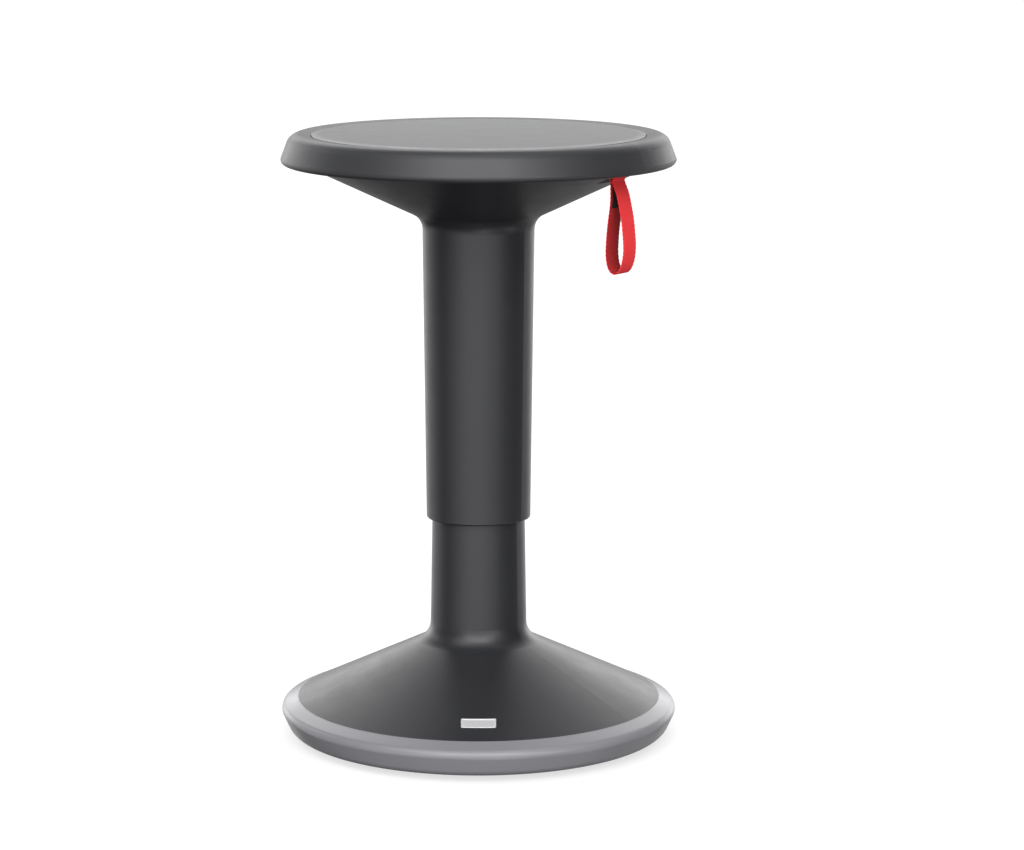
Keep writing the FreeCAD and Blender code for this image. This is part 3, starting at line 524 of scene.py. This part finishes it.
def lathe(name, line, slot, body, seg=240, shift=None, closed=True):
    """Turns a line of (r, z) mm round the column. shift(x, y, z) moves points, in mm. Ends at r 0 close in a pole."""
    verts, rows = [], []
    for r, z in line:
        if r < 1e-6:
            rows.append([len(verts)])
            verts.append((0.0, 0.0, z))
        else:
            base = len(verts)
            rows.append(list(range(base, base + seg)))
            for k in range(seg):
                a = 2 * math.pi * k / seg
                verts.append((r * math.cos(a), r * math.sin(a), z))
    if shift is not None:
        verts = [shift(*v) for v in verts]
    faces = []
    pairs = list(zip(rows, rows[1:]))
    if closed and len(rows[0]) > 1 and len(rows[-1]) > 1:
        pairs.append((rows[-1], rows[0]))
    for a, b in pairs:
        if len(a) == 1 and len(b) == 1:
            continue
        for k in range(seg):
            k2 = (k + 1) % seg
            if len(a) == 1:
                faces.append((a[0], b[k], b[k2]))
            elif len(b) == 1:
                faces.append((a[k], b[0], a[k2]))
            else:
                faces.append((a[k], b[k], b[k2], a[k2]))
    o = add_object(name, [tuple(c * MM for c in v) for v in verts], faces, slot, body)
    bm = bmesh.new()
    bm.from_mesh(o.data)
    bmesh.ops.recalc_face_normals(bm, faces=bm.faces)
    bm.to_mesh(o.data)
    bm.free()
    return o


# ------------------------------------------------------------------ pad
PAD_R, PAD_EDGE_Z, PAD_MID_Z, PAD_BOT = 145.6, 538.4, 535.4, 523.05
CREST_IN, LIP_DROP, LIP_R = 6.6, 1.0, 0.45     # crest's distance from the side, how far the lip slopes down, radius at the side


def pad_line(inset, n=44):
    """Dished top from the middle to a low crest, the lip that slopes down to the seam, and the tight turn down the side. inset is the depth under the skin's outside."""
    side, edge, mid = PAD_R - inset, PAD_EDGE_Z - inset, PAD_MID_Z - inset
    crest, lip = PAD_R - CREST_IN, max(0.35, LIP_R - inset)
    line = []
    for i in range(n):
        r = crest * (i / n) ** 0.85
        u = r / crest
        line.append((r, mid + (edge - mid) * (0.72 * u ** 2 + 0.42 * u ** 4 - 0.14 * u ** 8)))
    m = 14
    run = side - lip - crest
    for i in range(m):
        u = i / m
        line.append((crest + run * u, edge - LIP_DROP * (0.35 * u + 0.65 * u * u) * u / (0.15 + 0.85 * u)))
    slope = math.atan(LIP_DROP * 1.75 / run)
    zc = edge - LIP_DROP - lip
    for i in range(9):
        q = math.pi / 2 - slope * 0.55 - (math.pi / 2 - slope * 0.55) * i / 8
        line.append((side - lip + lip * math.cos(q), zc + lip * math.sin(q)))
    return line


def pad_sway(x, y, z):
    """The skin isn't perfectly even: long low waves of a tenth of a millimetre."""
    r = math.hypot(x, y)
    if z < 528.0:
        return (x, y, z)
    fade = 1.0 - max(0.0, min(1.0, (r - 128.0) / 14.0))
    w = 0.07 * math.sin(x / 23.0 + 1.3) * math.cos(y / 29.0 - 0.4) + 0.05 * math.sin((x + y) / 17.0 + 0.6) + 0.03 * math.sin((x - 0.6 * y) / 9.0)
    return (x, y, z + w * fade)


outside = pad_line(0.0)
skin = [(0.0, PAD_MID_Z)] + outside[1:]
skin += [(PAD_R, 529.0), (PAD_R, 526.0), (PAD_R - 0.05, 524.2), (PAD_R - 0.5, 523.25), (PAD_R - 1.3, PAD_BOT), (140.0, PAD_BOT), (135.0, PAD_BOT), (132.6, PAD_BOT + 0.1),
         (132.2, PAD_BOT + 0.36), (132.6, PAD_BOT + 0.62), (135.0, PAD_BOT + 0.72), (140.0, PAD_BOT + 0.72), (PAD_R - 1.6, PAD_BOT + 0.72), (PAD_R - 1.15, PAD_BOT + 1.4),
         (PAD_R - 1.05, 526.0), (PAD_R - 1.05, 529.0)]
under = pad_line(1.05)
skin += [p for p in reversed(under) if p[0] > 1e-6] + [(0.0, PAD_MID_Z - 1.05)]
pad_skin = lathe("pad_skin", skin, "pad_skin", "seat", seg=240, shift=pad_sway)
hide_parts("pad_cover")

core = pad_line(1.3)
core = [(0.0, PAD_MID_Z - 1.3)] + core[1:] + [(PAD_R - 1.3, 530.0), (PAD_R - 1.35, 528.2), (PAD_R - 2.0, 527.5), (PAD_R - 3.0, 527.35), (100.0, 527.35), (50.0, 527.35), (0.0, 527.35)]
pad_core = lathe("pad_core", core, "foam", "seat", seg=160, shift=pad_sway)
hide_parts("pad_foam")

# ------------------------------------------------------------------ soft ring round the foot
ring_line = arc_profile([
    (161.2, 32.6), (161.2, 35.72, 0.14), (162.6, 35.02, 1.5), (177.86, 28.44, 6.15), (167.41, 6.1, 10.87), (152.0, 5.3, 0.8),
    (152.0, 11.5), (161.5, 11.5), (161.5, 22.0), (164.9, 22.0), (164.9, 15.9), (168.6, 15.9), (168.6, 28.5), (162.14, 31.3), (162.05, 32.6)], turn=4.0)
ring = lathe("foot_ring", ring_line, "ring_grey", "foot", seg=360)
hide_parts("floor_ring")

# ------------------------------------------------------------------ pull strap
STRAP_X, STRAP_Z, PIN_R = 144.6, 512.0, 2.0
STRAP_T, HALF_W = 1.2, 10.0
LOOP = [(-1.25, -6.6), (-1.15, -14.0), (-1.2, -22.0), (-2.1, -31.0), (-3.4, -40.0), (-4.6, -50.0), (-5.4, -61.0), (-5.5, -70.0), (-4.4, -77.3),
        (-1.6, -83.2), (3.6, -85.9), (8.2, -83.0), (11.0, -78.0), (12.9, -70.5), (13.5, -61.5), (12.7, -51.0), (11.6, -41.5), (9.6, -31.0),
        (7.9, -23.7), (5.4, -15.3), (3.1, -10.3), (1.35, -6.6)]


def smooth_through(pts, per=24):
    """Natural cubic spline through the points, by chord length."""
    P = np.array(pts, float)
    t = np.concatenate([[0], np.cumsum(np.hypot(*np.diff(P, axis=0).T))])
    n = len(P)
    h = np.diff(t)
    A = np.zeros((n, n))
    B = np.zeros((n, 2))
    A[0, 0] = A[-1, -1] = 1.0
    for i in range(1, n - 1):
        A[i, i - 1], A[i, i], A[i, i + 1] = h[i - 1], 2 * (h[i - 1] + h[i]), h[i]
        B[i] = 6 * ((P[i + 1] - P[i]) / h[i] - (P[i] - P[i - 1]) / h[i - 1])
    S = np.linalg.solve(A, B)
    out = []
    for i in range(n - 1):
        for k in range(per):
            u = h[i] * k / per
            a, b = t[i + 1] - t[i] - u, u
            out.append(S[i] * a ** 3 / (6 * h[i]) + S[i + 1] * b ** 3 / (6 * h[i]) + (P[i] / h[i] - S[i] * h[i] / 6) * a + (P[i + 1] / h[i] - S[i + 1] * h[i] / 6) * b)
    out.append(P[-1])
    return np.array(out)


def touch(px, pz, r, side):
    d = math.hypot(px, pz)
    a = math.atan2(pz, px) + side * math.acos(r / d)
    return a


def strap_outline():
    """Closed outside line of the strap, clockwise seen along +Y, as evenly spaced points."""
    eye = PIN_R + 0.3 + STRAP_T
    left, right = touch(*LOOP[0], eye, -1), touch(*LOOP[-1], eye, 1)
    left = left + 2 * math.pi if left < 0 else left            # over the top from right to left
    arc = [(eye * math.cos(a), eye * math.sin(a)) for a in np.linspace(right, left, 60)]
    p = np.vstack([np.array(arc), smooth_through(LOOP)])
    closed = np.vstack([p, p[:1]])
    run = np.concatenate([[0], np.cumsum(np.hypot(*np.diff(closed, axis=0).T))])
    keep = np.concatenate([[True], np.diff(run) > 1e-6])
    closed, run = closed[keep], run[keep]
    m = 1400
    s = np.linspace(0, run[-1], m, endpoint=False)
    q = np.stack([np.interp(s, run, closed[:, 0]), np.interp(s, run, closed[:, 1])], 1)
    for _ in range(3):                                        # ease the kink above the pinch
        k = np.hanning(19)
        k /= k.sum()
        w = np.vstack([q[-9:], q, q[:9]])
        q = np.stack([np.convolve(w[:, 0], k, "valid"), np.convolve(w[:, 1], k, "valid")], 1)
    return q


def resample(q, n):
    closed = np.vstack([q, q[:1]])
    run = np.concatenate([[0], np.cumsum(np.hypot(*np.diff(closed, axis=0).T))])
    s = np.linspace(0, run[-1], n, endpoint=False)
    return np.stack([np.interp(s, run, closed[:, 0]), np.interp(s, run, closed[:, 1])], 1), run[-1]


def normals_of(q):
    d = np.roll(q, -1, 0) - np.roll(q, 1, 0)
    d /= np.linalg.norm(d, axis=1)[:, None]
    n = np.stack([d[:, 1], -d[:, 0]], 1)
    c = q.mean(0)
    if ((q - c) * n).sum() < 0:
        n = -n
    return n


outer_q = strap_outline()
mid_q = outer_q - normals_of(outer_q) * (STRAP_T / 2)
for _ in range(2):
    k_ = np.hanning(15)
    k_ /= k_.sum()
    w_ = np.vstack([mid_q[-7:], mid_q, mid_q[:7]])
    mid_q = np.stack([np.convolve(w_[:, 0], k_, "valid"), np.convolve(w_[:, 1], k_, "valid")], 1)
_, STRAP_LEN = resample(mid_q, 100)
RIB = STRAP_LEN / round(STRAP_LEN / 1.9)              # one rib of the weave, mm
ROWS = round(STRAP_LEN / RIB) * 6
mid_q, _ = resample(mid_q, ROWS)
mid_n = normals_of(mid_q)
COLS, PER = 16, 4
BODY_T, RELIEF = 1.0, 0.10


def strap_mesh():
    flat = HALF_W - 0.15 - BODY_T / 2                 # half width of the flat part
    across = []                                       # (v, cosine of the cap's angle, side, u within a warp, warp number)
    nflat = COLS * PER
    sec = []
    for j in range(nflat + 1):
        v = -flat + 2 * flat * j / nflat
        col, u = divmod(j, PER)
        sec.append((v, 1.0, 0.0, u / PER, col))
    caps = 5
    for j in range(1, caps):
        a = math.pi * j / caps
        sec.append((flat, math.cos(a), math.sin(a), 0.5, COLS))
    for j in range(nflat, -1, -1):
        v = -flat + 2 * flat * j / nflat
        col, u = divmod(j, PER)
        sec.append((v, -1.0, 0.0, u / PER, col))
    for j in range(1, caps):
        a = math.pi + math.pi * j / caps
        sec.append((-flat, math.cos(a), math.sin(a), 0.5, -1))
    verts, co = [], []
    width = len(sec)
    for i in range(ROWS):
        s = i / 6.0                                   # in ribs
        c, n = mid_q[i], mid_n[i]
        for v, up, side, u, col in sec:
            yarn = math.sqrt(max(0.0, 1 - (2 * u - 1) ** 2))
            phase = s + (0.22 if col % 2 else 0.0)
            face = 0.5 + 0.5 * math.cos(2 * math.pi * phase)
            if up < 0:
                face = 1 - face
            rise = max(2 * (0.25 + 0.75 * yarn) * (0.18 + 0.82 * face) - 1.0, -0.8)
            edge = max(0.0, min(1.0, (abs(v) - 7.9) / 1.0))
            sgn = 1.0 if v > 0 else -1.0
            scal = 0.5 + 0.5 * math.cos(2 * math.pi * (s + (0.5 if sgn > 0 else 0.0)))
            twin = 0.5 + 0.5 * math.cos(math.pi * (s + (0.9 if sgn > 0 else 0.0)))
            push = edge * (0.50 * scal + 0.46 * twin - 0.66)
            if abs(side) > 1e-9:
                h = BODY_T / 2 * up * (0.86 + 0.2 * scal)
                y = v + sgn * (BODY_T / 2 * abs(side) + push)
                rel = 0.35 + 0.65 * scal
            else:
                h = up * (BODY_T / 2 + RELIEF * (rise * (1 - 0.6 * edge) + 0.5 * edge * (scal - 0.5)))
                y = v + sgn * push * edge
                rel = 0.5 + 0.5 * rise
            p = c + n * h
            verts.append(((STRAP_X + p[0]) * MM, y * MM, (STRAP_Z + p[1]) * MM))
            # third value is the relief, whose low parts the material darkens as painted shade; the 2 added on the
            # loop's inside face marks that face for painted shadow
            co.append((i * STRAP_LEN / ROWS * MM, y * MM, rel + (2.0 if up < -0.5 else 0.0)))
    faces = []
    for i in range(ROWS):
        i2 = (i + 1) % ROWS
        for j in range(width):
            j2 = (j + 1) % width
            faces.append((i * width + j, i2 * width + j, i2 * width + j2, i * width + j2))
    return verts, faces, co


def with_co(o, co):
    at = o.data.attributes.new("strap_co", "FLOAT_VECTOR", "POINT")
    at.data.foreach_set("vector", np.array(co, np.float32).ravel())
    bm = bmesh.new()
    bm.from_mesh(o.data)
    bmesh.ops.recalc_face_normals(bm, faces=bm.faces)
    bm.to_mesh(o.data)
    bm.free()
    return o


sv, sf, sc_ = strap_mesh()
strap = with_co(add_object("strap_webbing", sv, sf, "strap_red", "strap"), sc_)
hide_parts("pull_strap")


def threads(name, runs, radius, slot, body, sides=8):
    """Short stitches: each run is a list of points in mm; the ends dive into the cloth."""
    verts, faces, co = [], [], []
    for run in runs:
        P = [Vector(p) for p in run]
        ref = Vector((0, 0, 1))
        first = len(verts)
        travel = 0.0
        for i, p in enumerate(P):
            d = (P[min(i + 1, len(P) - 1)] - P[max(i - 1, 0)]).normalized()
            a = d.cross(ref).normalized() if abs(d.dot(ref)) < 0.95 else d.cross(Vector((1, 0, 0))).normalized()
            b = d.cross(a).normalized()
            if i:
                travel += (p - P[i - 1]).length
            for k in range(sides):
                q = 2 * math.pi * k / sides
                w = p + (a * math.cos(q) + b * math.sin(q)) * radius * (1 + 0.12 * math.cos(2 * q + travel * 9.0))
                verts.append(w * MM)
                # third value is a relief, lower on one side of the thread, which the material darkens as painted shade
                co.append((travel * MM, q * radius * MM, 0.7 + 0.3 * math.cos(q)))
        for i in range(len(P) - 1):
            for k in range(sides):
                k2 = (k + 1) % sides
                a0, b0 = first + i * sides, first + (i + 1) * sides
                faces.append((a0 + k, a0 + k2, b0 + k2, b0 + k))
        faces.append(tuple(first + k for k in range(sides))[::-1])
        last = first + (len(P) - 1) * sides
        faces.append(tuple(last + k for k in range(sides)))
    return with_co(add_object(name, verts, faces, slot, body), co)


def on_strap(z_rel, side):
    """Centre and outward normal of the strand nearer (-1) or farther (+1) from the column at a depth below the pin, mm."""
    best = None
    for q, n in zip(mid_q, mid_n):
        if (side < 0) == (n[0] < 0) and abs(q[1]) > 4.0:
            d = abs(q[1] - z_rel)
            if best is None or d < best[0]:
                best = (d, q, n)
    return best[1], best[2]


runs = []
for z_rel in (-7.6, -9.4, -11.2):
    for side in (-1, 1):
        q, n = on_strap(z_rel, side)
        v = -8.6
        while v < 8.4:
            pts = []
            for k in range(9):
                u = k / 8.0
                lift = BODY_T / 2 + RELIEF + 0.02 - 0.55 * (2 * u - 1) ** 8
                pts.append((STRAP_X + q[0] + n[0] * lift, v + 2.1 * u, STRAP_Z + q[1] + n[1] * lift + 0.10 * math.sin(7 * v)))
            runs.append(pts)
            v += 2.45
stitch = threads("strap_stitching", runs, 0.20, "strap_red", "strap")


def tab_mesh():
    """Folded black ribbon sewn on the inside of the strand nearer the column: two layers with a rounded fold at the bottom."""
    rows = 60
    z_top, z_low = -11.0, -29.4
    verts, co, faces = [], [], []
    ring = []
    half_w, th = 7.0, 0.6
    prof = []
    nx = 44
    for j in range(nx + 1):
        prof.append((-half_w + 2 * half_w * j / nx, 1))
    for j in range(nx, -1, -1):
        prof.append((-half_w + 2 * half_w * j / nx, 0))
    for i in range(rows + 1):
        t = i / rows
        zr = z_top + (z_low - z_top) * t
        q, n = on_strap(zr, -1)
        end = min(t, 1 - t) * rows
        fold = math.sqrt(max(0.0, 1 - max(0.0, 1 - end / 2.0) ** 2)) * 0.5 + 0.5
        for v, top in prof:
            edge = max(0.0, min(1.0, (half_w - abs(v)) / 0.35))
            rib = 0.03 * math.cos(2 * math.pi * zr / 0.62) * math.cos(math.pi * v / 0.55)
            near = BODY_T / 2 + RELIEF + 0.03
            far = near + th * (0.35 + 0.65 * math.sqrt(edge)) * fold + (rib if top else 0.0)
            lift = far if top else near
            verts.append(((STRAP_X + q[0] - n[0] * lift) * MM, v * MM, (STRAP_Z + zr) * MM))
            # third value is a relief, low in the hollows between the ribs, which the material darkens as painted shade
            co.append((zr * MM, v * MM, 0.5 + rib * 14))
    w = len(prof)
    for i in range(rows):
        for j in range(w):
            j2 = (j + 1) % w
            faces.append((i * w + j, (i + 1) * w + j, (i + 1) * w + j2, i * w + j2))
    half = nx + 1
    for base in (0, rows * w):
        for j in range(nx):
            faces.append((base + j, base + j + 1, base + w - 2 - j, base + w - 1 - j))
    return verts, faces, co


tv, tf, tc_ = tab_mesh()
tab = with_co(add_object("strap_tab_ribbon", tv, tf, "tab_black", "strap"), tc_)
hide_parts("strap_tab")

# ------------------------------------------------------------------ plate on the foot
CONE_R, CONE_Z = 162.14, 35.15
CONE_SLOPE = (91.65 - CONE_Z) / (CONE_R - 42.85)


def plate_mesh():
    """Bare plate bent to the cone: a low frame round a brushed field, all edges broken."""
    half_u, half_t = 15.05, 5.75
    slope = math.atan(CONE_SLOPE)
    rc = 140.3
    zc = CONE_Z + (CONE_R - rc) * CONE_SLOPE

    def lines(half, corner):
        edge = [0.0, 0.12, 0.28, 0.5, 0.9, 1.3, 1.42, 1.58, 1.8]
        a = [half - e for e in edge]
        inner = list(np.linspace(-(half - 1.8), half - 1.8, corner + 1))
        return sorted(set(round(x, 4) for x in a + [-x for x in a] + inner))

    us, ts = lines(half_u, 24), lines(half_t, 10)
    rad = 1.0

    def depth_in(u, t):
        """Distance inwards from the rounded outline."""
        du, dt = abs(u) - (half_u - rad), abs(t) - (half_t - rad)
        if du > 0 and dt > 0:
            return rad - math.hypot(du, dt)
        return rad - max(du, dt)

    def pull(u, t):
        """Square corners drawn in to the rounded outline."""
        du, dt = abs(u) - (half_u - rad), abs(t) - (half_t - rad)
        if du > 0 and dt > 0:
            m = max(du, dt)
            d = math.hypot(du, dt)
            du, dt = du * m / d, dt * m / d
            u = math.copysign(half_u - rad + du, u)
            t = math.copysign(half_t - rad + dt, t)
        return u, t

    def place(u, t, h):
        # t runs down the cone, h stands off it
        r = rc + t * math.cos(slope) + h * math.sin(slope)
        z = zc - t * math.sin(slope) + h * math.cos(slope)
        a = VIEW_AZ + math.asin(u / r)
        return (r * math.cos(a) * MM, r * math.sin(a) * MM, z * MM)

    def height(d):
        if d < 0.3:
            return 0.66 + 0.22 * math.sqrt(max(0.0, 1 - (1 - d / 0.3) ** 2))
        if d < 1.3:
            return 0.88
        if d < 1.58:
            k = (d - 1.3) / 0.28
            return 0.88 - 0.2 * k * k * (3 - 2 * k)
        return 0.68

    verts, faces = [], []
    top = {}
    for i, u in enumerate(us):
        for j, t in enumerate(ts):
            pu, pt = pull(u, t)
            top[i, j] = len(verts)
            verts.append(place(pu, pt, height(max(0.0, depth_in(pu, pt)))))
    for i in range(len(us) - 1):
        for j in range(len(ts) - 1):
            faces.append((top[i, j], top[i, j + 1], top[i + 1, j + 1], top[i + 1, j]))
    border = [(i, 0) for i in range(len(us))] + [(len(us) - 1, j) for j in range(1, len(ts))]
    border += [(i, len(ts) - 1) for i in range(len(us) - 2, -1, -1)] + [(0, j) for j in range(len(ts) - 2, 0, -1)]
    low = []
    for i, j in border:
        pu, pt = pull(us[i], ts[j])
        low.append(len(verts))
        verts.append(place(pu, pt, 0.035))
    n = len(border)
    for k in range(n):
        k2 = (k + 1) % n
        faces.append((top[border[k]], top[border[k2]], low[k2], low[k]))
    c = len(verts)
    verts.append(place(0, 0, 0.035))
    for k in range(n):
        faces.append((low[k], low[(k + 1) % n], c))
    return verts, faces


pv, pf = plate_mesh()
plate = add_object("foot_plate", pv, pf, "plate_silver", "foot")
bm_ = bmesh.new()
bm_.from_mesh(plate.data)
bmesh.ops.recalc_face_normals(bm_, faces=bm_.faces)
bm_.to_mesh(plate.data)
bm_.free()
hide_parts("name_plate")

# ------------------------------------------------------------------ floor
FLOOR_GLOW, FLOOR_PAINT = 0.68, 0.42
fm = bpy.data.materials.new("floor")
fm.use_nodes = True
ft = fm.node_tree
ft.nodes.clear()
fd = ft.nodes.new("ShaderNodeBsdfDiffuse")
fd.inputs[0].default_value = (FLOOR_PAINT, FLOOR_PAINT, FLOOR_PAINT, 1)
fe = ft.nodes.new("ShaderNodeEmission")
fe.inputs[1].default_value = FLOOR_GLOW
fa = ft.nodes.new("ShaderNodeAddShader")
ft.links.new(fd.outputs[0], fa.inputs[0])
ft.links.new(fe.outputs[0], fa.inputs[1])
fg = ft.nodes.new("ShaderNodeNewGeometry")
fb = ft.nodes.new("ShaderNodeBsdfTransparent")
fx = ft.nodes.new("ShaderNodeMixShader")
ft.links.new(fg.outputs["Backfacing"], fx.inputs[0])
ft.links.new(fa.outputs[0], fx.inputs[1])
ft.links.new(fb.outputs[0], fx.inputs[2])
fo = ft.nodes.new("ShaderNodeOutputMaterial")
ft.links.new(fx.outputs[0], fo.inputs[0])
bm_ = bmesh.new()
bmesh.ops.create_circle(bm_, cap_ends=True, segments=96, radius=6.0)
fme = bpy.data.meshes.new("floor")
bm_.to_mesh(fme)
bm_.free()
floor = bpy.data.objects.new("floor", fme)
scene.collection.objects.link(floor)
fme.materials.append(fm)
floor.visible_diffuse = False
floor.visible_glossy = False
floor.visible_shadow = False
